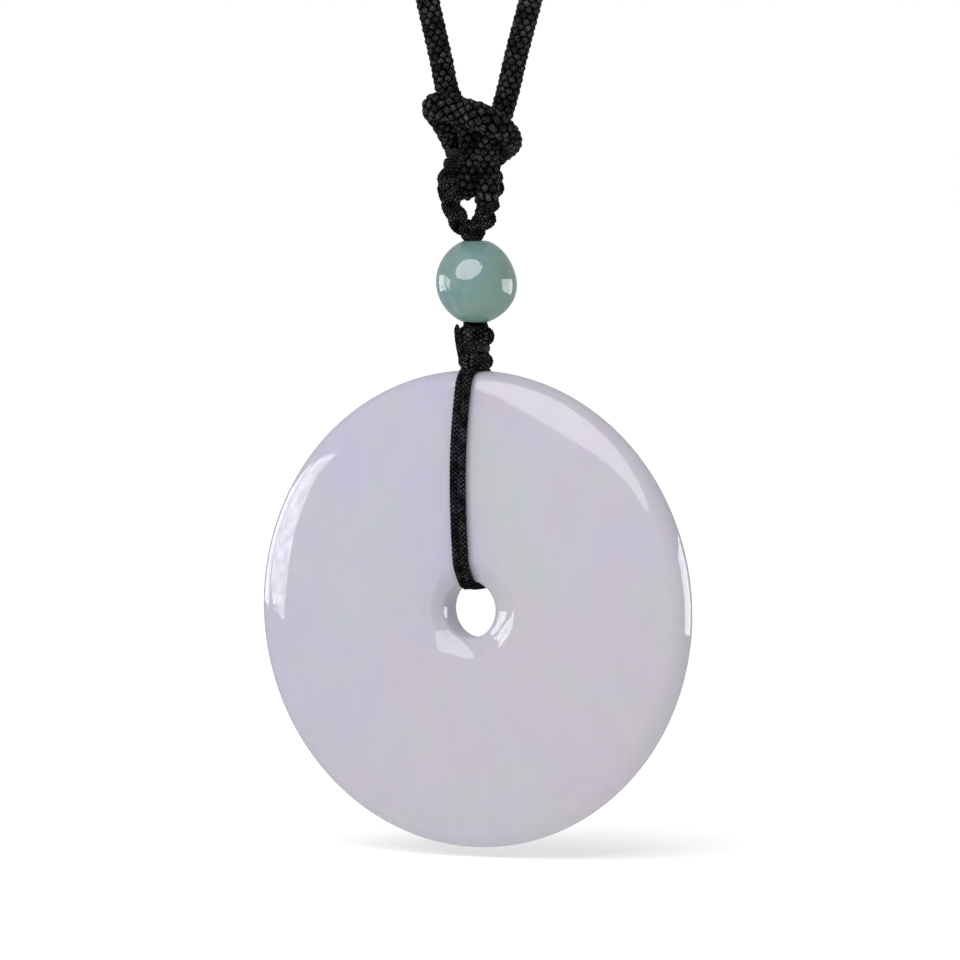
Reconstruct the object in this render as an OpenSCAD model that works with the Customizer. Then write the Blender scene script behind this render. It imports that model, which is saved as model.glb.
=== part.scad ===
// A jade disc pendant hung on a thin black sling, with a jade bead, a small
// knotted loop and a whole braided neck cord. Millimetres, Z up, front at -Y.
// The origin is where the cord hangs: the inside of the join at the nape.

/* [Disc] */
// Outer diameter of the jade disc
disc_d = 48; // [44:0.5:56]
// Thickness of the disc at its fullest
disc_t = 6.6; // [5.8:0.1:7.6]
// Radius of the polished rounding, at the rim and around the hole
edge_round = 2.2; // [1.8:0.05:2.6]
// Diameter of the hole
hole_d = 5.7; // [5.2:0.1:7]
// Length of the straight wall inside the hole
hole_wall = 2.2; // [1.2:0.1:2.8]

/* [Thin cord] */
// Diameter of one strand of the sling
thin_d = 0.8; // [0.6:0.05:1]
// Gap between two thin strands that lie side by side
thin_gap = 0.1; // [0.05:0.05:0.2]
// Height of the wound knot on the rim
wrap_h = 4.6; // [3.5:0.1:6]
// Number of turns in the wound knot
wrap_turns = 4; // [3:1:6]
// How far each turn stands out from the knot
wrap_bulge = 0.2; // [0.05:0.05:0.4]

/* [Bead] */
// Diameter of the jade bead
bead_d = 8.2; // [7:0.1:10]
// Diameter of the hole drilled through the bead
bead_hole_d = 2.3; // [2.2:0.1:2.8]

/* [Knotted loop] */
// Thickness of the knots that show on the small loop
knot_d = 2.1; // [1.7:0.05:2.15]
// Thickness of the loop where the neck cord is hitched on it
hitched_d = 1.15; // [0.9:0.05:1.2]
// Thickness between two knots, as a share of the knots
knot_waist = 0.8; // [0.6:0.05:0.95]

/* [Neck cord] */
// Diameter of the braided neck cord
neck_cord_d = 2.3; // [2:0.05:2.3]
// Outer diameter of the plain join at the nape
join_d = 3.6; // [3.2:0.1:5]
// Length of the plain join at the nape
join_l = 13; // [8:0.5:14]

/* [Fit] */
// Clearance between pieces that lie against each other
seat = 0.1; // [0.05:0.05:0.15]

/* [Hidden] */

// Directions
FRONT = -1;
BACK = 1;
LEFT = -1;
RIGHT = 1;

// Colours
lavender = "#cfcbd8";
teal = "#86aaa4";
black = "#1d1c20";

// Smoothness
round_sides = 72;
cord_sides = 8;
knot_sides = 12;
wrap_sides = 24;
arc_steps = 6;
dome_steps = 12;

// Half section of the disc: radius across, thickness up. Two small arcs of edge_round,
// at the rim and at the hole, are joined by one large arc that domes the face.
half_t = disc_t / 2;
hole_r = hole_d / 2;
rim_c = disc_d / 2 - edge_round;
hole_c = hole_r + sqrt(pow(edge_round, 2) - pow(hole_wall / 2, 2));
dome_c = (rim_c + hole_c) / 2;
dome_span = (rim_c - hole_c) / 2;
dome_r = (pow(dome_span, 2) + pow(half_t, 2) - pow(edge_round, 2)) / (2 * (half_t - edge_round));
dome_a = asin(dome_span / (dome_r - edge_round));
wall_a = asin(hole_wall / 2 / edge_round);

// Route of the neck cord, from its left end at the nape down to the pendant. The right
// side mirrors it. Millimetres, in the frame of the routes: x, y, z.
strand_route = [
    [-1, 0, 316.8], [-8, 0, 316.8], [-16, 0, 314.5], [-25, 0, 311], [-33, 0, 306.3],
    [-40, 0, 300.4], [-46, 0, 293.5], [-51, 0, 285.3], [-54.5, 0, 276.5], [-56.5, 0, 267.3],
    [-57, 0, 259.8], [-56.4, 0, 251.6], [-54, 0, 241], [-47, 0, 215], [-37.5, 0, 180],
    [-28, 0, 145], [-19, 0, 110]
];

// Route of the hitch: down, behind the band, under the small loop, round to the front,
// across as the band, round to the back, under the loop again and up.
hitch_route = [
    [-11, 0, 82], [-5.4, 0, 61], [-3.9, 0, 55.2],
    [-2.9, 0, 51.4], [-2.1, 0.2, 49.9], [-1.3, 0.3, 48.6], [-0.9, 0.1, 47.3], [-0.9, 0, 45.9],
    [-1, -0.1, 44.4], [-1.4, 0.3, 43], [-2.3, 1.4, 42.4], [-3, 2.5, 43], [-3.3, 2.9, 44.4],
    [-3.5, 2.4, 45.8], [-3.5, 1.2, 47.1], [-3.8, 0, 48.1], [-3.9, -1.2, 49.1], [-3.7, -2.2, 50.1],
    [-2.4, -2.7, 50.5], [0.3, -2.7, 49.8], [2.2, -2.7, 49.3], [3.3, -2.4, 48.9], [4, -1.3, 48.4],
    [4, 0.1, 47.6], [3.4, 1.8, 46.8], [2.2, 2.9, 46.4], [0.9, 3.8, 45.9], [-0.3, 4.2, 45.2],
    [-0.9, 3.9, 44.2], [-0.6, 3.3, 43], [0.1, 2.2, 42.4], [0.9, 1.1, 43], [1.3, 0.8, 44.4],
    [1.5, 0.3, 46], [1.6, 0, 47.6], [2.2, 0, 49.4], [3.3, 0, 51.4],
    [4.5, 0, 55.2], [6.2, 0, 61], [11.5, 0, 82]
];
neck_ring_step = 20;

// Route of the small loop, one point for each of its knots: x, y, z, and the knot's size,
// from 1 where it shows in full to 0 where the neck cord is hitched on it.
loop_route = [
    [-0.4, 0, 37.8, 0.9], [-1.7, -0.3, 39, 1], [-2.6, -0.9, 40.7, 1], [-2.4, -1.7, 42.5, 1],
    [-1.3, -2.2, 44.1, 0.7], [-2, -1.7, 45.3, 0.1], [-2.7, -0.4, 45.4, 0], [-2.5, 0.8, 45, 0],
    [-1.6, 1.6, 44.6, 0], [-0.6, 2, 44.4, 0], [0.5, 2.5, 44.3, 0], [1.7, 2.8, 43.9, 0],
    [2.5, 2.3, 42.9, 0], [2.4, 1.3, 41.6, 0.4], [1.5, 0.6, 40.4, 1], [1.2, 0.4, 38.9, 1]
];
loop_steps = 4;

// Heights in the frame of the routes: each piece hangs on the one above it
nape_z = strand_route[0].z;
loop_foot = loop_route[0].z - knot_d / 2;
bead_hole_l = sqrt(pow(bead_d, 2) - pow(bead_hole_d, 2));
bead_z = loop_foot - seat - bead_hole_l / 2;
wrap_top = bead_z - bead_hole_l / 2 - seat;
wrap_z = wrap_top - wrap_h;
disc_z = wrap_z - seat - disc_d / 2;

// The inside of the join at the nape is the origin
origin_z = nape_z - join_d / 2;

// The sling's strands lie a seat off the disc, side by side, and end under the knot
sling_off = thin_d / 2 + seat;
sling_x = (thin_d + thin_gap) / 2;
sling_end_a = 45;
sling_wall_a = acos((hole_c - hole_r + sling_off) / (edge_round + sling_off));

// The wound knot is one strand wider than the sling's pair on each side, and reaches over
// the ends of the sling at the front and the back
wrap_w = 2 * sling_x + 3 * thin_d;
wrap_depth = 2 * (edge_round + seat + thin_d) * sin(sling_end_a);

// Four strands pressed together fill the bead's hole
gathered_press = 0.2;
bundle_d = bead_hole_d - 2 * seat;
gathered_d = (bundle_d + gathered_press * sqrt(2)) / (1 + sqrt(2));

// Points of an arc around a centre, angles measured from +x
function arc(cx, cy, r, from, to, n) =
    [for (i = [0:n]) [cx + r * cos(from + (to - from) * i / n), cy + r * sin(from + (to - from) * i / n)]];

// One half of the section, moved off the surface by off: rim, face, edge of the hole
function face_line(off, rim_from, hole_to) = concat(
    arc(rim_c, 0, edge_round + off, rim_from, 90 - dome_a, arc_steps),
    arc(dome_c, half_t - dome_r, dome_r + off, 90 - dome_a, 90 + dome_a, dome_steps),
    arc(hole_c, 0, edge_round + off, 90 + dome_a, hole_to, arc_steps)
);

// Direction of a smooth curve at b, on its way from a to c
function slope(a, b, c) =
    let (ab = norm(b - a), bc = norm(c - b))
    ab == 0 ? (c - b) / bc : bc == 0 ? (b - a) / ab : ((b - a) * bc / ab + (c - b) * ab / bc) / (ab + bc);

// A point between b and c on the smooth curve through a, b, c and d
function between(a, b, c, d, t) =
    let (l = norm(c - b))
    (2 * t * t * t - 3 * t * t + 1) * b + (t * t * t - 2 * t * t + t) * l * slope(a, b, c)
    + (3 * t * t - 2 * t * t * t) * c + (t * t * t - t * t) * l * slope(b, c, d);

// Points along the smooth curve through a route, one every step or so, or n to a span
function open_curve(route, step) = [
    for (i = [0:len(route) - 2])
        let (
            a = route[max(i - 1, 0)],
            b = route[i],
            c = route[i + 1],
            d = route[min(i + 2, len(route) - 1)],
            n = max(1, round(norm(c - b) / step))
        )
        for (k = [0:n - 1]) between(a, b, c, d, k / n),
    route[len(route) - 1]
];
function closed_curve(route, n) = [
    for (i = [0:len(route) - 1])
        let (
            m = len(route),
            a = route[(i + m - 1) % m],
            b = route[i],
            c = route[(i + 1) % m],
            d = route[(i + 2) % m]
        )
        for (k = [0:n - 1]) between(a, b, c, d, k / n)
];

function unit(v) = v / norm(v);
function along(path, i, closed) =
    let (n = len(path))
    closed ? unit(path[(i + 1) % n] - path[(i + n - 1) % n])
           : unit(path[min(i + 1, n - 1)] - path[max(i - 1, 0)]);

// Side vectors carried along a path without twisting
function carried(path, closed, i, side) =
    let (t = along(path, i, closed), s = unit(side - (side * t) * t))
    i == len(path) - 1 ? [s] : concat([s], carried(path, closed, i + 1, s));

// A solid tube along a path, with a radius for each ring
module tube(path, radii, sides, closed, first_side) {
    n = len(path);
    s = carried(path, closed, 0, first_side);
    corners = [
        for (i = [0:n - 1])
            let (u = s[i], v = cross(along(path, i, closed), u))
            for (k = [0:sides - 1])
                path[i] + radii[i] * (cos(360 * k / sides) * u + sin(360 * k / sides) * v)
    ];
    walls = [
        for (i = [0:closed ? n - 1 : n - 2], k = [0:sides - 1])
            let (j = (i + 1) % n, m = (k + 1) % sides)
            [i * sides + k, j * sides + k, j * sides + m, i * sides + m]
    ];
    ends = closed ? [] : [
        [for (k = [0:sides - 1]) k],
        [for (k = [sides - 1:-1:0]) (n - 1) * sides + k]
    ];
    polyhedron(corners, concat(walls, ends));
}

module at(z) translate([0, 0, z - origin_z]) children();

module jade_disc() color(lavender) at(disc_z) rotate([90, 0, 0]) {
    front = face_line(0, 0, 180 - wall_a);
    back = [for (i = [len(front) - 1:-1:1]) [front[i].x, -front[i].y]];
    rotate_extrude($fn = round_sides) polygon(concat(front, back));
}

// One strand: up the front, through the top of the hole and up the back
module sling_strand(side) color(black) at(disc_z) {
    half = face_line(sling_off, sling_end_a, 180 - sling_wall_a);
    path = concat(
        [for (p = half) [side * sling_x, FRONT * p.y, p.x]],
        [for (i = [len(half) - 1:-1:0]) [side * sling_x, BACK * half[i].y, half[i].x]]
    );
    tube(path, [for (p = path) thin_d / 2], cord_sides, false, [1, 0, 0]);
}

module sling_strand_left() sling_strand(LEFT);
module sling_strand_right() sling_strand(RIGHT);

// The wound turns stand out one above the other
module wrap_knot() color(black) at(wrap_z) {
    rings = wrap_turns * arc_steps;
    swell = [for (i = [0:rings]) wrap_bulge * (abs(sin(180 * wrap_turns * i / rings)) - 1)];
    corners = [
        for (i = [0:rings], k = [0:wrap_sides - 1])
            let (a = 360 * k / wrap_sides)
            [(wrap_w / 2 + swell[i]) * cos(a), (wrap_depth / 2 + swell[i]) * sin(a), wrap_h * i / rings]
    ];
    walls = [
        for (i = [0:rings - 1], k = [0:wrap_sides - 1])
            let (m = (k + 1) % wrap_sides)
            [i * wrap_sides + m, i * wrap_sides + k, (i + 1) * wrap_sides + k, (i + 1) * wrap_sides + m]
    ];
    ends = [
        [for (k = [0:wrap_sides - 1]) k],
        [for (k = [wrap_sides - 1:-1:0]) rings * wrap_sides + k]
    ];
    polyhedron(corners, concat(walls, ends));
}

module jade_bead() color(teal) at(bead_z) difference() {
    sphere(d = bead_d, $fn = round_sides);
    cylinder(d = bead_hole_d, h = 2 * bead_d, center = true, $fn = round_sides);
}

// Four strands gathered into one bundle that fills the bead's hole
module bead_cord() color(black) at(bead_z)
    linear_extrude(bead_hole_l, center = true)
        for (x = [LEFT, RIGHT], y = [FRONT, BACK])
            translate([x, y] * (gathered_d - gathered_press) / 2)
                circle(d = gathered_d, $fn = round_sides);

module knotted_loop() color(black) at(0) {
    curve = closed_curve(loop_route, loop_steps);
    path = [for (p = curve) [p.x, p.y, p.z]];
    radii = [
        for (i = [0:len(curve) - 1])
            let (full = hitched_d + (knot_d - hitched_d) * max(0, min(1, curve[i][3])),
                 phase = (1 + cos(360 * i / loop_steps)) / 2)
            full / 2 * (knot_waist + (1 - knot_waist) * phase)
    ];
    tube(path, radii, knot_sides, true, [0, 1, 0]);
}

module neck_cord() color(black) at(0) {
    right_route = [
        for (i = [len(strand_route) - 1:-1:0])
            let (p = strand_route[i])
            [-p.x, p.y, p.z]
    ];
    path = open_curve(concat(strand_route, hitch_route, right_route), neck_ring_step);
    tube(path, [for (p = path) neck_cord_d / 2], cord_sides, false, [0, 1, 0]);
}

module nape_sleeve() color(black) at(nape_z) rotate([0, 90, 0])
    difference() {
        cylinder(d = join_d, h = join_l, center = true, $fn = round_sides);
        cylinder(d = neck_cord_d + 2 * seat, h = 2 * join_l, center = true, $fn = round_sides);
    }

jade_disc();
sling_strand_left();
sling_strand_right();
wrap_knot();
jade_bead();
bead_cord();
knotted_loop();
neck_cord();
nape_sleeve();
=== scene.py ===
import math

import bmesh
import bpy
import numpy as np
from mathutils import Matrix, Vector


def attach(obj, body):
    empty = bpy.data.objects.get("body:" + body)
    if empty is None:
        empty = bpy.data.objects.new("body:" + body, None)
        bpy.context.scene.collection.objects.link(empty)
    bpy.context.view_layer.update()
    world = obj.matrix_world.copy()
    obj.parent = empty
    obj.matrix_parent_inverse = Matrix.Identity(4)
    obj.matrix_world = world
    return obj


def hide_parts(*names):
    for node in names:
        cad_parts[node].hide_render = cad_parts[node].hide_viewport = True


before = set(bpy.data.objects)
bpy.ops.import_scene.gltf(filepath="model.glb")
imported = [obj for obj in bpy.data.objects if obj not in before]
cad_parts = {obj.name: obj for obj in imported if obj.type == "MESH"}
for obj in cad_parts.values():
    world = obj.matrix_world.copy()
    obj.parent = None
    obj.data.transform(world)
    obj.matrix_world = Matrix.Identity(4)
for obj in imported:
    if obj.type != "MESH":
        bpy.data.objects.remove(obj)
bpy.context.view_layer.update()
MM = 0.001


# The camera stands where the photograph was taken from: a long lens, a little above the
# pendant and turned 27 degrees to its left hand side, aimed just over the disc.
# The picture is brought out plainly, with no film curve.
VIEW_BEARING = math.radians(27.445)
VIEW_HEIGHT = math.radians(2.809)
VIEW_DISTANCE = 800.58 * MM
AIM_RIGHT = 0.462 * MM
AIM_UP = 12.93 * MM
DISC_CENTRE = Vector((0, 0, -315 * MM))
view_right = Vector((math.cos(VIEW_BEARING), math.sin(VIEW_BEARING), 0))
view_out = Vector((
    math.sin(VIEW_BEARING) * math.cos(VIEW_HEIGHT),
    -math.cos(VIEW_BEARING) * math.cos(VIEW_HEIGHT),
    math.sin(VIEW_HEIGHT),
))
view_up = view_out.cross(view_right)


def added(name, data):
    """A new object in the scene."""
    made = bpy.data.objects.new(name, data)
    bpy.context.scene.collection.objects.link(made)
    return made


def aimed(place, right, up, back):
    """Where a camera or lamp stands and how it is turned. It looks away from its back."""
    return Matrix.Translation(place) @ Matrix((right, up, back)).transposed().to_4x4()


camera = added("camera", bpy.data.cameras.new("camera"))
camera.data.sensor_width = 36
camera.data.lens = 298.76
camera.data.clip_start = 0.05
camera.data.clip_end = 50
camera.matrix_world = aimed(
    DISC_CENTRE + view_right * AIM_RIGHT + view_up * AIM_UP + view_out * VIEW_DISTANCE,
    view_right, view_up, view_out,
)
bpy.context.scene.camera = camera
bpy.context.scene.view_settings.view_transform = "Standard"


# The neck cord is one length of thick braided black nylon, sixteen yarns plaited round a
# core. It is hitched on the small loop, goes up on both sides of the neck and closes in
# the join at the nape. Its route is in millimetres, above the disc's middle.
ROUTE_ZERO = -315
NECK_CORD = {"Yarns each way": 8, "Lead": 9.6, "Radius": 0.9, "Weave depth": 0.12,
             "Yarn width": 0.66, "Yarn thickness": 0.44, "Core radius": 0.82}
NECK_STEP = 1.45 / 8
HITCH_BELOW = 78
HITCH_SIDES, PLAIN_SIDES = 6, 5
HITCH_STRIDE, PLAIN_STRIDE = 1, 2
BAND_FRONT = -1.2
BAND_DEPTH = 1.2
BAND_FULLER = 0.05
BAND_SPREAD = 0.22
strand_route = [
    (-1, 0, 316.8), (-8, 0, 316.8), (-16, 0, 314.5), (-25, 0, 311), (-33, 0, 306.3),
    (-40, 0, 300.4), (-46, 0, 293.5), (-51, 0, 285.3), (-54.5, 0, 276.5), (-56.5, 0, 267.3),
    (-57, 0, 259.8), (-56.4, 0, 251.6), (-54, 0, 241), (-47, 0, 215), (-37.5, 0, 180),
    (-28, 0, 145), (-19, 0, 110),
]
hitch_route = [
    (-11, 0, 82), (-5.4, 0, 61), (-3.9, 0, 55.2), (-2.9, 0, 51.4), (-2.1, 0.2, 49.9),
    (-1.2, 0.3, 48.6), (-0.75, 0.2, 47.3), (-0.6, 0.2, 45.9), (-0.65, 0.1, 44.4),
    (-1, 0.4, 42.9), (-1.9, 1.4, 42.1), (-2.8, 2.5, 42.8), (-3.2, 2.9, 44.4),
    (-3.3, 2.4, 45.8), (-3.3, 1.2, 47.1), (-3.3, 0, 48.2), (-3.4, -1.3, 49.3),
    (-3.6, -2.2, 50.2), (-2.4, -2.7, 50.5), (0.3, -2.7, 49.8), (2.2, -2.7, 49.3),
    (3.2, -2.4, 48.8), (3.8, -1.3, 48.2), (3.7, 0.1, 47.5), (3, 1.8, 46.8), (2.1, 2.9, 46.4),
    (0.9, 3.8, 45.9), (-0.2, 4.2, 45.2), (-0.7, 3.9, 44.2), (-0.4, 3.2, 42.7),
    (0.3, 1.8, 41.15), (1.05, 0.7, 41.65), (1.35, 0.35, 43.5), (1.4, -0.1, 46),
    (1.75, -0.2, 47.6), (2.85, -0.1, 49.4), (3.5, 0, 51.4), (4.5, 0, 55.2), (6.2, 0, 61),
    (11.5, 0, 82),
]


def slope(a, b, c):
    """The direction of a smooth curve at b, on its way from a to c."""
    ab, bc = np.linalg.norm(b - a), np.linalg.norm(c - b)
    if ab == 0:
        return (c - b) / bc
    if bc == 0:
        return (b - a) / ab
    return ((b - a) * bc / ab + (c - b) * ab / bc) / (ab + bc)


def between(t, a, slope_a, b, slope_b):
    """The place t of the way along a smooth bend from a to b, with the slope at each end."""
    return (
        (2 * t**3 - 3 * t**2 + 1) * a + (t**3 - 2 * t**2 + t) * slope_a
        + (3 * t**2 - 2 * t**3) * b + (t**3 - t**2) * slope_b
    )


def smooth(route, step):
    """Points a step apart on the smooth curve through a route, and each one's distance run."""
    route = np.array(route, float)
    last = len(route) - 1
    fine = []
    for i in range(last):
        a, b, c, d = route[max(i - 1, 0)], route[i], route[i + 1], route[min(i + 2, last)]
        span = np.linalg.norm(c - b)
        for t in np.arange(0, 1, 1 / 24):
            fine.append(between(t, b, span * slope(a, b, c), c, span * slope(b, c, d)))
    fine.append(route[-1])
    return evened(np.array(fine), step)


def evened(fine, step):
    """The points of a close polyline, set a step apart, and each one's distance run."""
    lengths = np.linalg.norm(np.diff(fine[:, :3], axis=0), axis=1)
    run = np.concatenate([[0], np.cumsum(lengths)])
    places = np.linspace(0, run[-1], max(2, round(run[-1] / step) + 1))
    return np.stack([np.interp(places, run, column) for column in fine.T], axis=1), places


def side_ways(path, first_side=(0, 1, 0)):
    """Two directions square to a path at each of its points, which never twist round it."""
    ahead = np.gradient(path, axis=0)
    ahead /= np.linalg.norm(ahead, axis=1)[:, None]
    side = np.zeros_like(path)
    side[0] = first_side
    for i in range(len(path)):
        s = side[max(i - 1, 0)]
        s = s - (s @ ahead[i]) * ahead[i]
        side[i] = s / np.linalg.norm(s)
    return side, np.cross(ahead, side)


def guide(name, path, run, first_side=(0, 1, 0), swell=None, spread=None):
    """A line for yarns to follow. It carries its distance run, its two side directions, how
    much fuller than plain the cord is there, and how much it spreads upright."""
    side, up = side_ways(path, first_side)
    mesh = bpy.data.meshes.new(name)
    place = path * MM + np.array([0, 0, ROUTE_ZERO * MM])
    mesh.from_pydata(place.tolist(), [(i, i + 1) for i in range(len(path) - 1)], [])
    for key, kind, values in (
        ("run", "FLOAT", run),
        ("side", "FLOAT_VECTOR", side),
        ("up", "FLOAT_VECTOR", up),
        ("swell", "FLOAT", np.ones(len(path)) if swell is None else swell),
        ("spread", "FLOAT", np.zeros(len(path)) if spread is None else spread),
    ):
        store = mesh.attributes.new(key, kind, "POINT").data
        store.foreach_set("vector" if kind == "FLOAT_VECTOR" else "value", np.ravel(values))
    return added(name, mesh)


class Tree:
    """A node tree, with short ways to add nodes to it and to work out numbers in it."""

    def __init__(self, tree):
        self.tree = tree

    def node(self, kind, feeds=None, **settings):
        made = self.tree.nodes.new(kind)
        for key, value in settings.items():
            setattr(made, key, value)
        return self.fed(made, feeds or {})

    def fed(self, node, feeds):
        """Joins each named input to a socket or a node's first output, or gives it a value."""
        for key, value in feeds.items():
            if isinstance(value, bpy.types.Node):
                value = value.outputs[0]
            if isinstance(value, bpy.types.NodeSocket):
                self.tree.links.new(value, node.inputs[key])
            else:
                node.inputs[key].default_value = value
        return node

    def maths(self, work, *values):
        return self.node("ShaderNodeMath", dict(enumerate(values)), operation=work)

    def vectors(self, work, *values):
        return self.node("ShaderNodeVectorMath", dict(enumerate(values)), operation=work)

    def scaled(self, vector, by):
        return self.node("ShaderNodeVectorMath", {0: vector, "Scale": by}, operation="SCALE")

    def place(self):
        """The place on the piece, in its own coordinates."""
        return self.node("ShaderNodeTexCoord").outputs["Object"]


def node_group(name, kind, takes, gives):
    """A node group to fill, and its inputs and outputs. Each is (name, kind) or, for an input
    with a value of its own, (name, kind, value)."""
    group = bpy.data.node_groups.new(name, kind)
    for way, sockets in (("INPUT", takes), ("OUTPUT", gives)):
        for label, socket_kind, *value in sockets:
            made = group.interface.new_socket(
                label, in_out=way, socket_type="NodeSocket" + socket_kind)
            if value:
                made.default_value = value[0]
    t = Tree(group)
    return t, t.node("NodeGroupInput").outputs, t.node("NodeGroupOutput")


def braid_tree():
    """The tree that plaits yarns round a guide: half of them wind each way, and each goes
    over and under the others in turn. A plain core fills the middle."""
    sizes = ("Lead", "Radius", "Weave depth", "Yarn width", "Yarn thickness", "Core radius")
    t, given, out = node_group(
        "Braid round a guide", "GeometryNodeTree",
        [("Guide", "Geometry"), ("Yarns each way", "Int", 6), ("Sides", "Int", 8)]
        + [(name, "Float", 1.0) for name in sizes] + [("Material", "Material")],
        [("Cord", "Geometry")],
    )

    def carried(name, kind="FLOAT"):
        return t.node("GeometryNodeInputNamedAttribute", {"Name": name}, data_type=kind)

    def marked(shape, name, value, kind="FLOAT"):
        return t.node("GeometryNodeStoreNamedAttribute",
                      {"Geometry": shape, "Name": name, "Value": value},
                      data_type=kind, domain="POINT")

    def tube(line, ring):
        return t.node("GeometryNodeCurveToMesh",
                      {"Curve": line, "Profile Curve": ring, "Scale": carried("swell"),
                       "Fill Caps": True})

    line = t.node("GeometryNodeMeshToCurve", {"Mesh": given["Guide"]})
    each_way = given["Yarns each way"]
    yarns = t.node("GeometryNodeDuplicateElements",
                   {"Geometry": line, "Amount": t.maths("MULTIPLY", each_way, 2.0)},
                   domain="SPLINE")
    index = yarns.outputs["Duplicate Index"]
    odd = t.maths("MODULO", index, 2.0)
    way = t.maths("SUBTRACT", t.maths("MULTIPLY", odd, 2.0), 1.0)
    pair = t.maths("FLOOR", t.maths("DIVIDE", index, 2.0))
    start = t.maths("DIVIDE", pair, each_way)
    turns = t.maths("MULTIPLY", way, t.maths("DIVIDE", carried("run"), given["Lead"]))
    angle = t.maths("MULTIPLY", t.maths("ADD", start, turns), math.tau)
    crossing = t.maths("COSINE", t.maths("MULTIPLY", angle, each_way))
    over = t.maths("MULTIPLY", way, crossing)
    lift = t.maths("MULTIPLY", over, given["Weave depth"])
    reach = t.maths("MULTIPLY", t.maths("ADD", given["Radius"], lift), carried("swell"))
    radial = t.vectors(
        "ADD",
        t.scaled(carried("side", "FLOAT_VECTOR"), t.maths("COSINE", angle)),
        t.scaled(carried("up", "FLOAT_VECTOR"), t.maths("SINE", angle)),
    )
    flat = t.scaled(radial, reach)
    height = t.node("ShaderNodeSeparateXYZ", {0: flat}).outputs[2]
    upright = t.node("ShaderNodeCombineXYZ", {2: t.maths("MULTIPLY", height, carried("spread"))})
    offset = t.scaled(t.vectors("ADD", flat, upright), MM)
    held = marked(yarns, "radial", radial, "FLOAT_VECTOR")
    moved = t.node("GeometryNodeSetPosition",
                   {"Geometry": marked(held, "crown", over), "Offset": offset})
    turned_out = t.node("GeometryNodeSetCurveNormal",
                        {"Curve": moved, "Normal": carried("radial", "FLOAT_VECTOR")},
                        mode="FREE")
    ring = t.node("GeometryNodeCurvePrimitiveCircle",
                  {"Resolution": given["Sides"], "Radius": 0.5 * MM}, mode="RADIUS")
    size = t.node("ShaderNodeCombineXYZ",
                  {0: given["Yarn thickness"], 1: given["Yarn width"], 2: 1.0})
    oval = t.node("GeometryNodeTransform", {"Geometry": ring, "Scale": size})
    around = t.node("ShaderNodeSeparateXYZ", {0: t.node("GeometryNodeInputPosition")})
    across = marked(oval, "across", t.maths("DIVIDE", around.outputs[1], 0.5 * MM))
    core_ring = t.node("GeometryNodeCurvePrimitiveCircle",
                       {"Resolution": 6, "Radius": t.maths("MULTIPLY", given["Core radius"], MM)},
                       mode="RADIUS")
    both = t.node("GeometryNodeJoinGeometry")
    for shape in (tube(line, core_ring), tube(turned_out, across)):
        t.fed(both, {0: shape})
    shaded = t.node("GeometryNodeSetShadeSmooth", {"Geometry": both})
    real = t.node("GeometryNodeRealizeInstances", {"Geometry": shaded})
    finish = t.node("GeometryNodeSetMaterial", {"Geometry": real, "Material": given["Material"]})
    t.fed(out, {"Cord": finish})
    return t.tree


BRAID = braid_tree()


def plaited(piece, sizes, material):
    """Turns a guide into its braided cord, as a plain mesh at the origin."""
    maker = piece.modifiers.new("Braid", "NODES")
    maker.node_group = BRAID
    for item in BRAID.interface.items_tree:
        if item.in_out == "INPUT" and item.name in sizes:
            maker[item.identifier] = sizes[item.name]
        if item.in_out == "INPUT" and item.name == "Material":
            maker[item.identifier] = material
    seen = piece.evaluated_get(bpy.context.evaluated_depsgraph_get())
    mesh = bpy.data.meshes.new_from_object(seen)
    piece.modifiers.clear()
    piece.data = mesh
    return piece


def new_material(name):
    """A new material, its tree, and the shader in it."""
    material = bpy.data.materials.new(name)
    material.use_nodes = True
    return material, Tree(material.node_tree), material.node_tree.nodes["Principled BSDF"]


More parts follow.
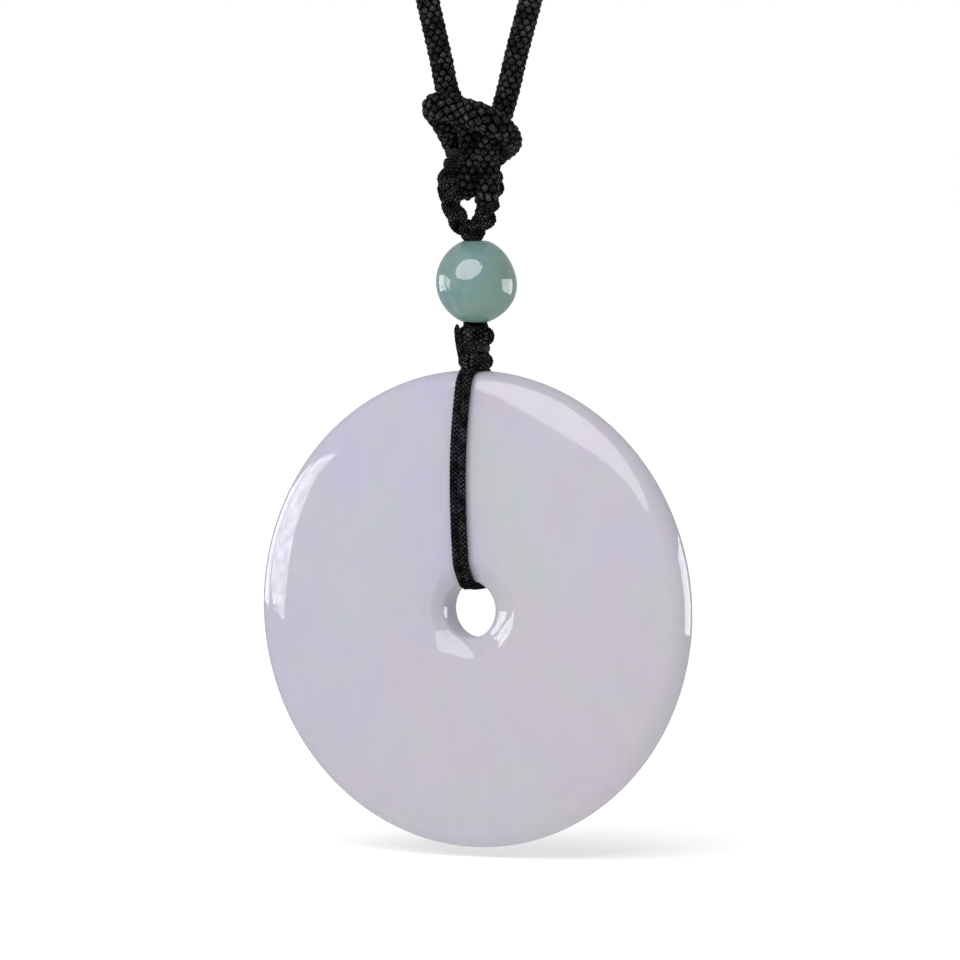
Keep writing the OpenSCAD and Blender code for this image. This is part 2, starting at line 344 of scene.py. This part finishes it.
def filament_and_glint_group():
    """Fine filaments along a yarn, and a painted glint on them in the base colour: painted
    highlight where the yarn rides over the others, painted shade under them and at its edges."""
    t, given, out = node_group(
        "Nylon filaments and painted glint", "ShaderNodeTree",
        [("Lines", "Float", 6.0), ("Speckle size", "Float", 9000.0),
         ("Dark", "Color", (0, 0, 0, 1)), ("Light", "Color", (1, 1, 1, 1))],
        [("Color", "Color"), ("Roughness", "Float"), ("Height", "Float")],
    )
    across = t.node("ShaderNodeAttribute", attribute_name="across").outputs["Fac"]
    crown = t.node("ShaderNodeAttribute", attribute_name="crown").outputs["Fac"]
    place = t.place()
    wobble = t.node("ShaderNodeTexNoise", {"Vector": place, "Scale": 2500.0, "Detail": 2.0})
    straight = t.maths("MULTIPLY", across, given["Lines"])
    bent = t.maths("ADD", straight, t.maths("MULTIPLY", wobble, 3.0))
    lines = t.maths("ABSOLUTE", t.maths("SINE", t.maths("MULTIPLY", bent, math.pi)))
    specks = t.node("ShaderNodeTexNoise",
                    {"Vector": place, "Scale": given["Speckle size"], "Detail": 2.0})
    # Filament lines and specks make the bump and, where they stand high, painted glints.
    height = t.maths("ADD", t.maths("MULTIPLY", lines, 0.5), t.maths("MULTIPLY", specks, 0.5))
    mask = t.node("ShaderNodeMapRange", {"Value": height, "From Min": 0.45, "From Max": 0.66,
                                         "To Min": 0.04})
    # Painted highlight on the yarn's crown, where it rides over; painted shade where it dips
    # under, and towards its edges.
    over = t.node("ShaderNodeMapRange", {"Value": crown, "From Min": 0.0, "From Max": 1.0},
                  interpolation_type="SMOOTHSTEP")
    middle = t.maths("SUBTRACT", 1.0, t.maths("MULTIPLY", across, across))
    # Coarse noise makes the painted glint stronger in some places and weaker in others.
    glint_patches = t.node("ShaderNodeTexNoise", {"Vector": place, "Scale": 750.0, "Detail": 1.0})
    worn = t.node("ShaderNodeMapRange", {"Value": glint_patches, "From Min": 0.36, "From Max": 0.64,
                                         "To Min": 0.25, "To Max": 1.15})
    glint = mask
    for part in (over, middle, worn):
        glint = t.maths("MULTIPLY", glint, part)
    # The base colour goes from the dark colour to the light one with the painted glint.
    color = t.node("ShaderNodeMix", {0: glint, 6: given["Dark"], 7: given["Light"]},
                   data_type="RGBA").outputs[2]
    rough = t.node("ShaderNodeMapRange", {"Value": specks, "To Min": 0.62, "To Max": 0.42})
    t.fed(out, {"Color": color, "Roughness": rough, "Height": height})
    return t.tree


FILAMENTS_AND_GLINT = filament_and_glint_group()


def cord_material(name, lines, speckle, dark, light):
    """Black nylon cord: dark yarns with a painted glint on top, in the light colour."""
    material, t, shader = new_material(name)
    filaments_and_glint = t.node("ShaderNodeGroup", {"Lines": lines, "Speckle size": speckle,
                                        "Dark": (*dark, 1), "Light": (*light, 1)},
                    node_tree=FILAMENTS_AND_GLINT)
    bump = t.node("ShaderNodeBump", {"Strength": 0.6, "Distance": 0.00008,
                                     "Height": filaments_and_glint.outputs["Height"]})
    t.fed(shader, {"Base Color": filaments_and_glint.outputs["Color"],
                   "Roughness": filaments_and_glint.outputs["Roughness"],
                   "Normal": bump, "IOR": 1.5, "Specular IOR Level": 0.02})
    return material


# The first colour is the nylon's own black, and the second is the painted glint on the yarns'
# tops.
thick_nylon = cord_material("black_braided_nylon", 2.5, 3400, (0.0004, 0.0004, 0.0006),
                            (0.066, 0.066, 0.074))
whole_route = strand_route + hitch_route + [(-x, y, z) for x, y, z in reversed(strand_route)]
neck_line, neck_run = smooth(whole_route, NECK_STEP)
low = np.flatnonzero(neck_line[:, 2] < HITCH_BELOW)
first_low, last_low = low[0] // 2 * 2, low[-1] // 2 * 2
band = np.clip((BAND_FRONT - neck_line[:, 1]) / BAND_DEPTH, 0, 1) ** 2
for name, first, last, stride, sides in (
    ("neck_cord_left", 0, first_low, PLAIN_STRIDE, PLAIN_SIDES),
    ("neck_cord_hitch", first_low, last_low, HITCH_STRIDE, HITCH_SIDES),
    ("neck_cord_right", last_low, len(neck_line) - 1, PLAIN_STRIDE, PLAIN_SIDES),
):
    keep = np.unique(np.append(np.arange(first, last + 1, stride), last))
    piece = guide(name, neck_line[keep], neck_run[keep],
                  swell=1 + BAND_FULLER * band[keep], spread=BAND_SPREAD * band[keep])
    plaited(piece, dict(NECK_CORD, Sides=sides), thick_nylon)
    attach(piece, "root")
    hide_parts("neck_cord")


# The small loop is a chain of snake knots in the thin cord, which looks like three plump
# strands laid round each other. Where the neck cord is hitched on it, it runs thinner. Each
# point of its route has how full the knots are there.
THIN_CORD = {"Yarns each way": 5, "Lead": 2.2, "Radius": 0.285, "Weave depth": 0.045,
             "Yarn width": 0.28, "Yarn thickness": 0.16, "Sides": 4, "Core radius": 0.27}
THIN_STEP = 0.08
LOOP_CORD = {"Yarns each way": 7, "Lead": 3.2, "Radius": 0.37, "Weave depth": 0.045,
             "Yarn width": 0.27, "Yarn thickness": 0.17, "Sides": 4, "Core radius": 0.34}
LOOP_STEP = 0.02
LOOP_STRANDS = 3
LOOP_COIL = 0.57
LOOP_PITCH = 5.2
LOOP_LEAST = 0.25
loop_route = [
    (0.3, 2.7, 44.2, 0.35), (0.9, 2.7, 43.5, 0.6), (1.15, 2.2, 42.4, 0.9),
    (0.95, 1.7, 41.5, 0.85), (0.8, 1.3, 40.7, 1.15), (0.82, 0.85, 40, 1.08),
    (0.75, 0.55, 39.3, 1.22), (0.3, 0.1, 38.4, 1), (-0.25, -0.1, 37.75, 1.08),
    (-1.15, -0.55, 38.4, 1), (-1.7, -0.9, 39.4, 1.12), (-2, -1.1, 40.15, 0.97),
    (-2.2, -1.35, 41, 1.1), (-2.35, -1.5, 41.85, 0.93), (-2.4, -1.75, 42.7, 1.08),
    (-2.05, -1.95, 43.55, 0.88), (-1.55, -2.25, 44.3, 1.02), (-0.9, -2.2, 45.3, 0.6),
    (-1.8, -1.4, 45.9, 0.3), (-2.6, -0.4, 45.5, 0.2), (-2.5, 0.8, 45, 0.2),
    (-1.6, 1.6, 44.6, 0.2), (-0.6, 2.2, 44.4, 0.25), (0.3, 2.7, 44.2, 0.35),
]
# Its second colour too is the painted glint on the yarns' tops.
thin_nylon = cord_material("black_thin_nylon", 1.5, 5200, (0.0004, 0.0004, 0.0006),
                           (0.064, 0.064, 0.072))


def laid(path, run, radius, pitch, start):
    """The line of a strand laid round a path, like one strand of a rope."""
    side, up = side_ways(path)
    angle = (math.tau * (run / pitch + start))[:, None]
    return path + radius[:, None] * (side * np.cos(angle) + up * np.sin(angle))


loop_line, loop_run = smooth(loop_route, LOOP_STEP)
loop_path, fullness = loop_line[:, :3], loop_line[:, 3]
for k in range(LOOP_STRANDS):
    line = laid(loop_path, loop_run, LOOP_COIL * fullness, LOOP_PITCH, k / LOOP_STRANDS)
    line, run = evened(np.column_stack([line, fullness]), THIN_STEP)
    piece = guide("knotted_loop_strand_%d" % (k + 1), line[:, :3], run,
                  swell=LOOP_LEAST + (1 - LOOP_LEAST) * line[:, 3])
    plaited(piece, LOOP_CORD, thin_nylon)
    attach(piece, "root")
    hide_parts("knotted_loop")


# The sling is the thin cord laid double through the hole of the disc: two strands side by
# side, up the front, over the edge of the hole and up the back, into the wound knot. Its
# strands follow the disc's section, whose sizes come first.
DISC_D = 48
DISC_T = 6.6
EDGE_ROUND = 2.2
HOLE_D = 5.7
HOLE_WALL = 2.2
DISC_Z = -0.02
FACE_FALL = 0.009
CHAMFER_R = 4.85
CHAMFER_EDGE = 0.05
CHAMFER_SLOPE = 0.42
CHAMFER_FOOT_R, CHAMFER_FOOT_T = 3.0, 1.45
WALL_EDGE = [(2.9, 1.27), (2.85, 1.0)]
SLING_END = 20
SLING_OFF = 0.46
SLING_SIDE = 0.44
SLING_SHIFT = -0.05
SLING_TURN_T = 0.8
SLING_YARN_SHIFT = 0.1
half_t = DISC_T / 2
rim_c = DISC_D / 2 - EDGE_ROUND
hole_c = HOLE_D / 2 + math.sqrt(EDGE_ROUND**2 - (HOLE_WALL / 2) ** 2)
dome_c = (rim_c + hole_c) / 2
dome_span = (rim_c - hole_c) / 2
dome_r = (dome_span**2 + half_t**2 - EDGE_ROUND**2) / (2 * (half_t - EDGE_ROUND))
dome_a = math.degrees(math.asin(dome_span / (dome_r - EDGE_ROUND)))


def arc(cx, cy, r, first, last, count):
    """Points of an arc, its angles in degrees from the positive x direction."""
    angles = np.radians(np.linspace(first, last, count + 1))
    return [(cx + r * math.cos(a), cy + r * math.sin(a)) for a in angles]


def face_t(r):
    """The disc's half thickness at a radius inside the dome's top, chamfer left out."""
    return half_t - FACE_FALL * (dome_c - r) ** 2


def face_line(off, rim_from, finer):
    """One face of the disc in section, moved off it: radius across, thickness up. It is
    nearly flat towards the hole, then falls away in a chamfer that steepens to the wall."""
    line = arc(rim_c, 0, EDGE_ROUND, rim_from, 90 - dome_a, 8 * finer)
    for r in np.linspace(line[-1][0], dome_c, 10 * finer)[1:]:
        line.append((r, half_t - dome_r + math.sqrt(dome_r**2 - (r - dome_c) ** 2)))
    width = CHAMFER_R - CHAMFER_FOOT_R
    drop = face_t(CHAMFER_R) - CHAMFER_FOOT_T
    for r in np.concatenate([
        np.linspace(dome_c, CHAMFER_R + CHAMFER_EDGE, 8 * finer)[1:],
        [CHAMFER_R - CHAMFER_EDGE],
        np.linspace(CHAMFER_R - 4 * CHAMFER_EDGE, CHAMFER_FOOT_R, 5 * finer),
    ]):
        into = max(0.0, CHAMFER_R - r)
        bend = (drop - CHAMFER_SLOPE * width) * (into / width) ** 2
        line.append((r, face_t(max(r, CHAMFER_R)) - CHAMFER_SLOPE * into - bend))
    line = np.array(line + WALL_EDGE)
    ahead = np.gradient(line, axis=0)
    ahead /= np.linalg.norm(ahead, axis=1)[:, None]
    return (line + off * np.column_stack([ahead[:, 1], -ahead[:, 0]])).tolist()


in_hole = HOLE_D / 2 - SLING_OFF
half = [(r, t) for r, t in face_line(SLING_OFF, SLING_END, 2) if r > in_hole]
half.append((in_hole, SLING_TURN_T))
SLING_CORD = dict(THIN_CORD, Radius=0.325, Sides=5)
for name, node, side in (
    ("sling_left", "sling_strand_left", -1),
    ("sling_right", "sling_strand_right", 1),
):
    x = side * SLING_SIDE + SLING_SHIFT
    points = [(x, -t, r + DISC_Z) for r, t in half]
    points += [(x, t, r + DISC_Z) for r, t in reversed(half)]
    line, run = evened(np.array(points), THIN_STEP)
    piece = guide(name, line, run + SLING_YARN_SHIFT * side, (1, 0, 0))
    plaited(piece, SLING_CORD, thin_nylon)
    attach(piece, "root")
    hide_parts(node)


# The wound knot closes the sling on top of the rim: turns of the cord packed down on each
# other, thick above and below and drawn in at the waist, round a plain heart. The trimmed
# end of the cord lies flat against their left side.
WRAP_FOOT = 24.08
WRAP_HIGH = 4.68
WRAP_START = 2.2
WRAP_WIDE, WRAP_DEEP = 0.92, 1.25
WRAP_CORD = {"Yarns each way": 11, "Lead": 5.0, "Radius": 0.72, "Weave depth": 0.05,
             "Yarn width": 0.38, "Yarn thickness": 0.22, "Sides": 4, "Core radius": 0.68}
HEART_CORD = {"Yarns each way": 3, "Lead": 6.0, "Radius": 0.9, "Weave depth": 0.1,
              "Yarn width": 1.0, "Yarn thickness": 0.6, "Sides": 6, "Core radius": 1.1}
HEART_STEP = 0.3
wrap_route = []
for turn, out, rise, size in (
    (-0.1, 0.5, 0.85, 0.5), (0.15, 0.95, 0.85, 0.9), (0.4, 1.05, 0.8, 1),
    (0.65, 1.05, 0.78, 1.02), (0.9, 1, 0.88, 0.95), (1.1, 0.95, 1.3, 0.75),
    (1.3, 0.95, 1.85, 0.62), (1.5, 0.95, 2.15, 0.6), (1.7, 1, 2.1, 0.62),
    (1.9, 1, 2.25, 0.66), (2.1, 1.02, 3, 0.95), (2.3, 1, 3.4, 1.15), (2.6, 0.98, 3.35, 1.2),
    (2.85, 0.95, 3.3, 1.15), (3.05, 0.9, 3.4, 1), (3.25, 0.5, 3.6, 0.6),
):
    a = math.tau * turn + WRAP_START
    wrap_route.append((WRAP_WIDE * out * math.cos(a), WRAP_DEEP * out * math.sin(a),
                       WRAP_FOOT + rise, size))
wrap_line, wrap_run = smooth(wrap_route, THIN_STEP)
wrap_turns = guide("wrap_knot_turns", wrap_line[:, :3], wrap_run, (0, 0, 1),
                   swell=wrap_line[:, 3])
end_line, end_run = smooth(
    [(-0.65, -1.3, 24.6), (-0.9, -1.4, 25.6), (-1.2, -1.4, 27), (-1.4, -1.33, 28.6)], THIN_STEP)
wrap_end = guide("wrap_knot_end", end_line, end_run,
                 swell=np.interp(end_run, [0, end_run[-1] - 0.5, end_run[-1]], [1, 0.9, 0.3]))
heart_line, heart_run = smooth(
    [(0, 0, WRAP_FOOT + rise) for rise in (0.1, 2.3, WRAP_HIGH)], HEART_STEP)
wrap_heart = guide("wrap_knot_heart", heart_line, heart_run, (1, 0, 0),
                   swell=np.interp(heart_run, [0, 3.4, WRAP_HIGH], [1.17, 1.17, 1]))
for piece, sizes in ((wrap_turns, WRAP_CORD), (wrap_end, THIN_CORD), (wrap_heart, HEART_CORD)):
    plaited(piece, sizes, thin_nylon)
    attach(piece, "root")
    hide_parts("wrap_knot")


# Inside the bead four strands of the thin cord lie pressed together and fill the drilled
# hole. Almost none of them shows, so the solid stays, in the thin cord's black.
bead_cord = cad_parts["bead_cord"]
bead_cord.data.materials.clear()
bead_cord.data.materials.append(thin_nylon)


# The join at the nape is out of the picture. It is a plain short sleeve of black cord
# whipping pulled over the two ends of the neck cord.
whipping, t, shader = new_material("black_whipping")
rings = t.node("ShaderNodeTexWave", {"Vector": t.place(), "Scale": 620, "Distortion": 0.6},
               bands_direction="X").outputs["Fac"]
ramp = t.node("ShaderNodeValToRGB", {0: rings})
ramp.color_ramp.elements[0].color = (0.006, 0.006, 0.008, 1)
ramp.color_ramp.elements[1].color = (0.03, 0.03, 0.034, 1)
bump = t.node("ShaderNodeBump", {"Strength": 0.8, "Distance": 0.0002, "Height": rings})
t.fed(shader, {"Base Color": ramp, "Normal": bump, "Roughness": 0.55})
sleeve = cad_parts["nape_sleeve"]
sleeve.data.materials.clear()
sleeve.data.materials.append(whipping)


# The disc is cut from pale lavender jadeite and polished to a high gloss. Its faces dome
# slightly, its rim is rounded, clouds run through the stone, and the chamfer at the hole was
# ground by hand: crisp and wide on the right, and worn softly into the face on the left.
DISC_SIDES = 256
CHAMFER_SHIFT = 0.95
SHIFT_ENDS_R = 12
WORN_R = 8.5
WORN_SLOPE = 0.7
WORN_FROM, WORN_OVER = 0.25, 0.5


def jade_group():
    """Soft clouds of three tints inside a polished stone, with faint slanting streaks. Place
    is measured in the piece's own radii from its middle, and zoning is the way in which the
    ground gives place to the blush."""
    t, given, out = node_group(
        "Clouded jade", "ShaderNodeTree",
        [("Place", "Vector"), ("Zoning", "Vector"), ("Cloud size", "Float", 1.5),
         ("Streak size", "Float", 5.0), ("Streak share", "Float", 0.3)]
        + [(name, "Color", (1, 1, 1, 1)) for name in ("Ground", "Blush", "Mist", "Streak")],
        [("Color", "Color"), ("Roughness", "Float"), ("Height", "Float")],
    )
    place = given["Place"]

    def cloudy(where):
        return t.node("ShaderNodeTexNoise",
                      {"Vector": t.vectors("ADD", place, where), "Scale": given["Cloud size"],
                       "Detail": 6.0, "Roughness": 0.6, "Distortion": 0.4})

    def mixed(share, under, over):
        return t.node("ShaderNodeMix", {0: share, 6: under, 7: over},
                      data_type="RGBA").outputs[2]

    slanted = t.node("ShaderNodeMapping", {"Vector": place, "Rotation": (0, 0.6, 0),
                                           "Scale": (1.6, 1.2, 0.6)})
    clouds, mists = cloudy((2.7, 9.4, 3.1)), cloudy((5.3, 2.1, 7.7))
    streaks = t.node("ShaderNodeTexNoise",
                     {"Vector": slanted, "Scale": given["Streak size"], "Detail": 4.0,
                      "Roughness": 0.6, "Distortion": 0.3})
    zone = t.vectors("DOT_PRODUCT", place, given["Zoning"]).outputs["Value"]
    blush_mask = t.node("ShaderNodeMapRange", {"Value": t.maths("ADD", clouds, zone),
                                               "From Min": 0.32, "From Max": 0.68},
                        interpolation_type="SMOOTHSTEP")
    mist_mask = t.node("ShaderNodeMapRange", {"Value": mists, "From Min": 0.4, "From Max": 0.75},
                       interpolation_type="SMOOTHSTEP")
    streak_mask = t.node("ShaderNodeMapRange",
                         {"Value": streaks, "From Min": 0.42, "From Max": 0.75})
    tinted = mixed(blush_mask, given["Ground"], given["Blush"])
    misted = mixed(mist_mask, tinted, given["Mist"])
    streak_share = t.maths("MULTIPLY", streak_mask, given["Streak share"])
    rough = t.node("ShaderNodeMapRange", {"Value": streaks, "To Min": 0.02, "To Max": 0.07})
    t.fed(out, {"Color": mixed(streak_share, misted, given["Streak"]), "Roughness": rough,
                "Height": mists})
    return t.tree


CLOUDS = jade_group()


def jade_material(name, radius, middle, zoning, tints, sizes, depth):
    """Polished jade: light goes a little way in, and the surface has a clear gloss. Radius
    and middle are the piece's own, and depth is how far red, green and blue go in."""
    material, t, shader = new_material(name)
    centred = t.node("ShaderNodeMapping", {
        "Vector": t.place(), "Scale": (1 / radius, 1 / radius, 1 / radius),
        "Location": (0, 0, -middle / radius),
    })
    tints = {key: (*tint, 1) for key, tint in tints.items()}
    stone = t.node("ShaderNodeGroup", {"Place": centred, "Zoning": zoning, **tints, **sizes},
                   node_tree=CLOUDS)
    bump = t.node("ShaderNodeBump", {"Strength": 0.5, "Distance": 0.00006,
                                     "Height": stone.outputs["Height"]})
    t.fed(shader, {
        "Base Color": stone.outputs["Color"], "Roughness": stone.outputs["Roughness"],
        "Normal": bump, "IOR": 1.66, "Subsurface Weight": 0.6, "Subsurface Scale": 1.0,
        "Subsurface Radius": depth,
    })
    return material


def turned(name, section, sides, axis):
    """A closed solid turned from a closed section of (radius, along) points, in millimetres.
    axis is y for the disc and z for the bead, both through the route's own zero."""
    count = len(section)
    corners, faces = [], []
    for k in range(sides):
        a = math.tau * k / sides
        for r, h in section:
            x, other = r * math.cos(a), r * math.sin(a)
            corners.append((x, h, other) if axis == "y" else (x, other, h))
    for k in range(sides):
        n = (k + 1) % sides
        for i in range(count):
            j = (i + 1) % count
            faces.append((k * count + i, n * count + i, n * count + j, k * count + j))
    mesh = bpy.data.meshes.new(name)
    mesh.from_pydata(corners, [], faces)
    return mesh


def finished(name, mesh, material, raise_by):
    """Puts a turned mesh in its place with its faces outward and shaded smooth."""
    work = bmesh.new()
    work.from_mesh(mesh)
    bmesh.ops.recalc_face_normals(work, faces=work.faces)
    for v in work.verts:
        v.co = (v.co + Vector((0, 0, raise_by + ROUTE_ZERO))) * MM
    work.to_mesh(mesh)
    work.free()
    mesh.shade_smooth()
    mesh.materials.append(material)
    return added(name, mesh)


lavender = jade_material(
    "lavender_jade", radius=0.024, middle=-0.315, zoning=(0.16, 0, -0.1),
    tints={"Ground": (0.44, 0.43, 0.545), "Blush": (0.475, 0.43, 0.485),
           "Mist": (0.44, 0.46, 0.475), "Streak": (0.50, 0.475, 0.53)},
    sizes={"Cloud size": 2.6, "Streak size": 7, "Streak share": 0.4},
    depth=(0.0012, 0.0011, 0.0013),
)
face = face_line(0, 0, 2)
front = [(r, -t) for r, t in face]
wall = [(HOLE_D / 2, HOLE_WALL / 2 * s) for s in (-0.5, 0, 0.5)]
disc_mesh = turned("jade_disc_stone", front + wall + face[:0:-1], DISC_SIDES, "y")
worn_span = WORN_R - CHAMFER_FOOT_R
worn_end = 2 * FACE_FALL * (dome_c - WORN_R)
for v in disc_mesh.vertices:
    r = math.hypot(v.co.x, v.co.z)
    worn = min(1.0, max(0.0, (-v.co.x / r - WORN_FROM) / WORN_OVER))
    u = (r - CHAMFER_FOOT_R) / worn_span
    if 0 <= u <= 1:
        soft = between(u, CHAMFER_FOOT_T, worn_span * WORN_SLOPE,
                       face_t(WORN_R), worn_span * worn_end)
        worn = worn * worn * (3 - 2 * worn)
        v.co.y = math.copysign(abs(v.co.y) * (1 - worn) + soft * worn, v.co.y)
    v.co.x += CHAMFER_SHIFT * float(np.interp(r, [HOLE_D / 2, CHAMFER_R, SHIFT_ENDS_R], [0, 1, 0]))
disc = finished("jade_disc_stone", disc_mesh, lavender, DISC_Z)
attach(disc, "root")
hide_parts("jade_disc")


# The bead is a blue-green jade ball, drilled through from top to bottom for the cord. It is
# turned and polished by hand, so it is not quite round: flatter towards its upper right in
# the photograph and fuller towards its lower right. Light goes a little way into it.
BEAD_D = 8.2
BEAD_HOLE_D = 2.3
BEAD_Z = 32.88
BEAD_SIDES = 96
BEAD_SHIFT = 0.14
BEAD_TALLER = 0.05
HOLE_EASE = 0.06
FLAT_BY, FULL_BY = 0.05, 0.02
flat_way = view_right * 0.88 + view_up * 0.47
full_way = view_right * 0.8 - view_up * 0.6
teal = jade_material(
    "green_jade", radius=0.0041, middle=-0.28229, zoning=(0.5, 0.26, -0.42),
    tints={"Ground": (0.138, 0.252, 0.268), "Blush": (0.152, 0.262, 0.218),
           "Mist": (0.14, 0.235, 0.20), "Streak": (0.26, 0.32, 0.265)},
    sizes={"Cloud size": 1.3, "Streak size": 2.6, "Streak share": 0.5},
    depth=(0.0012, 0.0018, 0.0018),
)
bead_r = BEAD_D / 2
bore_r = BEAD_HOLE_D / 2
mouth_a = math.degrees(math.acos((bore_r + HOLE_EASE) / bead_r))
mouth_h = math.sqrt(bead_r**2 - bore_r**2) - HOLE_EASE
ball = arc(0, 0, bead_r, -mouth_a, mouth_a, 48)
bore = [(bore_r, mouth_h * s) for s in (1, 0.6, 0.2, -0.2, -0.6, -1)]
bead_mesh = turned("jade_bead_stone", ball + bore, BEAD_SIDES, "z")
for v in bead_mesh.vertices:
    out = max(0.0, (math.hypot(v.co.x, v.co.y) - bore_r) / (bead_r - bore_r))
    way = v.co.normalized()
    flat = FLAT_BY * max(0.0, way @ flat_way) ** 6
    full = FULL_BY * max(0.0, way @ full_way) ** 6
    v.co = v.co * (1 + out * (full - flat)) + view_right * BEAD_SHIFT * out
    v.co.z *= 1 + BEAD_TALLER * abs(way.z) ** 3
bead = finished("jade_bead_stone", bead_mesh, teal, BEAD_Z)
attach(bead, "root")
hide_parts("jade_bead")


# The floor is a plain white table and is no part of the pendant. It glows a little, as
# painted light: evenly near the pendant, and more strongly farther out, where the lamps'
# light falls off. It lies just under the disc, as the photograph's soft shadow shows.
# Polished stone mirrors it as a flat painted glow as bright as the room, so no horizon
# shows in it.
FLOOR_Z = -0.34
FLOOR_R = 4.0
MIRRORED = 0.5
angles = np.linspace(0, math.tau, 64, endpoint=False)
floor_mesh = bpy.data.meshes.new("floor")
floor_mesh.from_pydata([(FLOOR_R * math.cos(a), FLOOR_R * math.sin(a), FLOOR_Z) for a in angles],
                       [], [list(range(64))])
floor = added("floor", floor_mesh)
paper, t, shader = new_material("white_table")
# Painted glow: even near the pendant, growing farther out, where the lamps' light falls off.
reach = t.node("ShaderNodeVectorMath", {0: t.place()}, operation="LENGTH").outputs["Value"]
glow = t.node("ShaderNodeMapRange", {"Value": reach, "From Min": 0.36, "From Max": 0.8,
                                     "To Min": 0.33, "To Max": 0.55})
t.fed(shader, {"Base Color": (0.92, 0.92, 0.925, 1), "Roughness": 0.9,
               "Specular IOR Level": 0.1, "Emission Color": (1, 1, 1, 1),
               "Emission Strength": glow})
# To glossy rays the table is only a flat painted glow, as bright as the room.
mirrored_floor = t.node("ShaderNodeEmission", {"Strength": MIRRORED})
either = t.node("ShaderNodeMixShader",
                {0: t.node("ShaderNodeLightPath").outputs["Is Glossy Ray"], 1: shader,
                 2: mirrored_floor})
t.fed(t.tree.nodes["Material Output"], {"Surface": either})
floor_mesh.materials.append(paper)


# The light is a soft studio's: a big round box overhead to the left, whose reflection makes
# the pale crescent on the disc, glowing crinkled foil cards on both sides, and a white room
# around. The bead is flagged off the box and has one of its own, with a plain fill.
def facing(bearing, height):
    """The way from the disc to a lamp or card, and the lamp's own right hand. Bearing is in
    degrees right of the camera and height in degrees above it."""
    b, h = math.radians(bearing), math.radians(height)
    level = Vector((view_out.x, view_out.y, 0)).normalized()
    way = (level * math.cos(b) + view_right * math.sin(b)) * math.cos(h)
    way += Vector((0, 0, math.sin(h)))
    return way, Vector((0, 0, 1)).cross(way).normalized()


def lamp(name, bearing, height, distance, size, glow, shift=(0, 0), roll=0):
    """An oval area light that faces the disc's middle. Glow is how bright its face looks,
    with white at 1. Shift moves it to its own right and up, and roll turns it in its plane."""
    way, across = facing(bearing, height)
    up = way.cross(across)
    light = bpy.data.lights.new(name, "AREA")
    light.shape = "ELLIPSE"
    light.size, light.size_y = size
    light.energy = glow * math.pi * size[0] * size[1] * math.pi / 4
    made = added(name, light)
    place = DISC_CENTRE + way * distance + across * shift[0] + up * shift[1]
    made.matrix_world = aimed(place, across, up, way) @ Matrix.Rotation(math.radians(roll), 4, "Z")
    return made


def flagged(light, piece, way):
    """Keeps a light for one piece alone, or off it, as a flag does in a studio."""
    group = bpy.data.collections.new(light.name + "_flag")
    group.objects.link(piece)
    light.light_linking.receiver_collection = group
    group.collection_objects[0].light_linking.link_state = way


box = lamp("overhead_box", -28, 46, 0.9, (1.16, 1.09), 2.25, shift=(0.05, 0.03), roll=20)
flagged(box, bead, "EXCLUDE")
bead_box = lamp("overhead_box_on_bead", -28, 37, 0.8, (1.17, 0.82), 4.7, roll=26)
bead_box.data.color = (1, 0.9, 0.93)
bead_box.visible_diffuse = False
bead_fill = lamp("overhead_fill_on_bead", -28, 46, 1.1, (1.44, 1.33), 2.1)
bead_fill.visible_glossy = False
for light in (bead_box, bead_fill):
    flagged(light, bead, "INCLUDE")

CARD_DISTANCE = 160 * MM
FOIL_CREASES = (110, 110, 380)


def foil(name, bright, dim):
    """Crinkled foil that glows, bright in the creases and dim between them."""
    material, t, shader = new_material(name)
    t.tree.nodes.remove(shader)
    creases = t.node("ShaderNodeMapping", {"Vector": t.place(), "Scale": FOIL_CREASES})
    cells = t.node("ShaderNodeTexVoronoi", {"Vector": creases, "Scale": 1}).outputs["Distance"]
    light = t.node("ShaderNodeMapRange", {"Value": cells, "From Min": 0.15, "From Max": 0.7,
                                          "To Min": bright, "To Max": dim})
    glow = t.node("ShaderNodeEmission", {"Strength": light})
    t.fed(t.tree.nodes["Material Output"], {"Surface": glow})
    return material


left_foil = foil("crinkled_foil_left", 6.6, 2.8)
right_foil = foil("crinkled_foil_right", 7.4, 3.2)
for name, bearing, cover, outline in (
    ("left_card", -95, left_foil,
     [(50, 49), (14, 50), (-8, 60), (-10, 28), (-2, 8), (18, -8), (31, -15), (35, -5), (36, 8),
      (37, 21), (41, 38)]),
    ("far_left_card", -95, left_foil,
     [(-132, 50), (-60, 60), (-20, 62), (-19, 20), (-7, -10), (-122, -10)]),
    ("right_card", 95, right_foil,
     [(-59, 50), (85, 50), (87, -62), (45, -84), (-14, -50), (-45, -20)]),
):
    way, across = facing(bearing, 0)
    middle = DISC_CENTRE + way * CARD_DISTANCE
    corners = [middle + across * h * MM + Vector((0, 0, z * MM)) for h, z in outline]
    mesh = bpy.data.meshes.new(name)
    mesh.from_pydata(corners, [], [list(range(len(outline)))])
    mesh.materials.append(cover)
    card = added(name, mesh)
    for rays in ("camera", "diffuse", "shadow", "transmission"):
        setattr(card, "visible_" + rays, False)

world = bpy.data.worlds.new("white_room")
world.use_nodes = True
room = Tree(world.node_tree)
rays = room.node("ShaderNodeLightPath").outputs
strength = 0.52
for ray, full in (("Is Glossy Ray", MIRRORED), ("Is Camera Ray", 1.0)):
    strength = room.node("ShaderNodeMix", {"Factor": rays[ray], "A": strength, "B": full})
room.fed(room.tree.nodes["Background"], {"Color": (1, 1, 1, 1), "Strength": strength})
bpy.context.scene.world = world
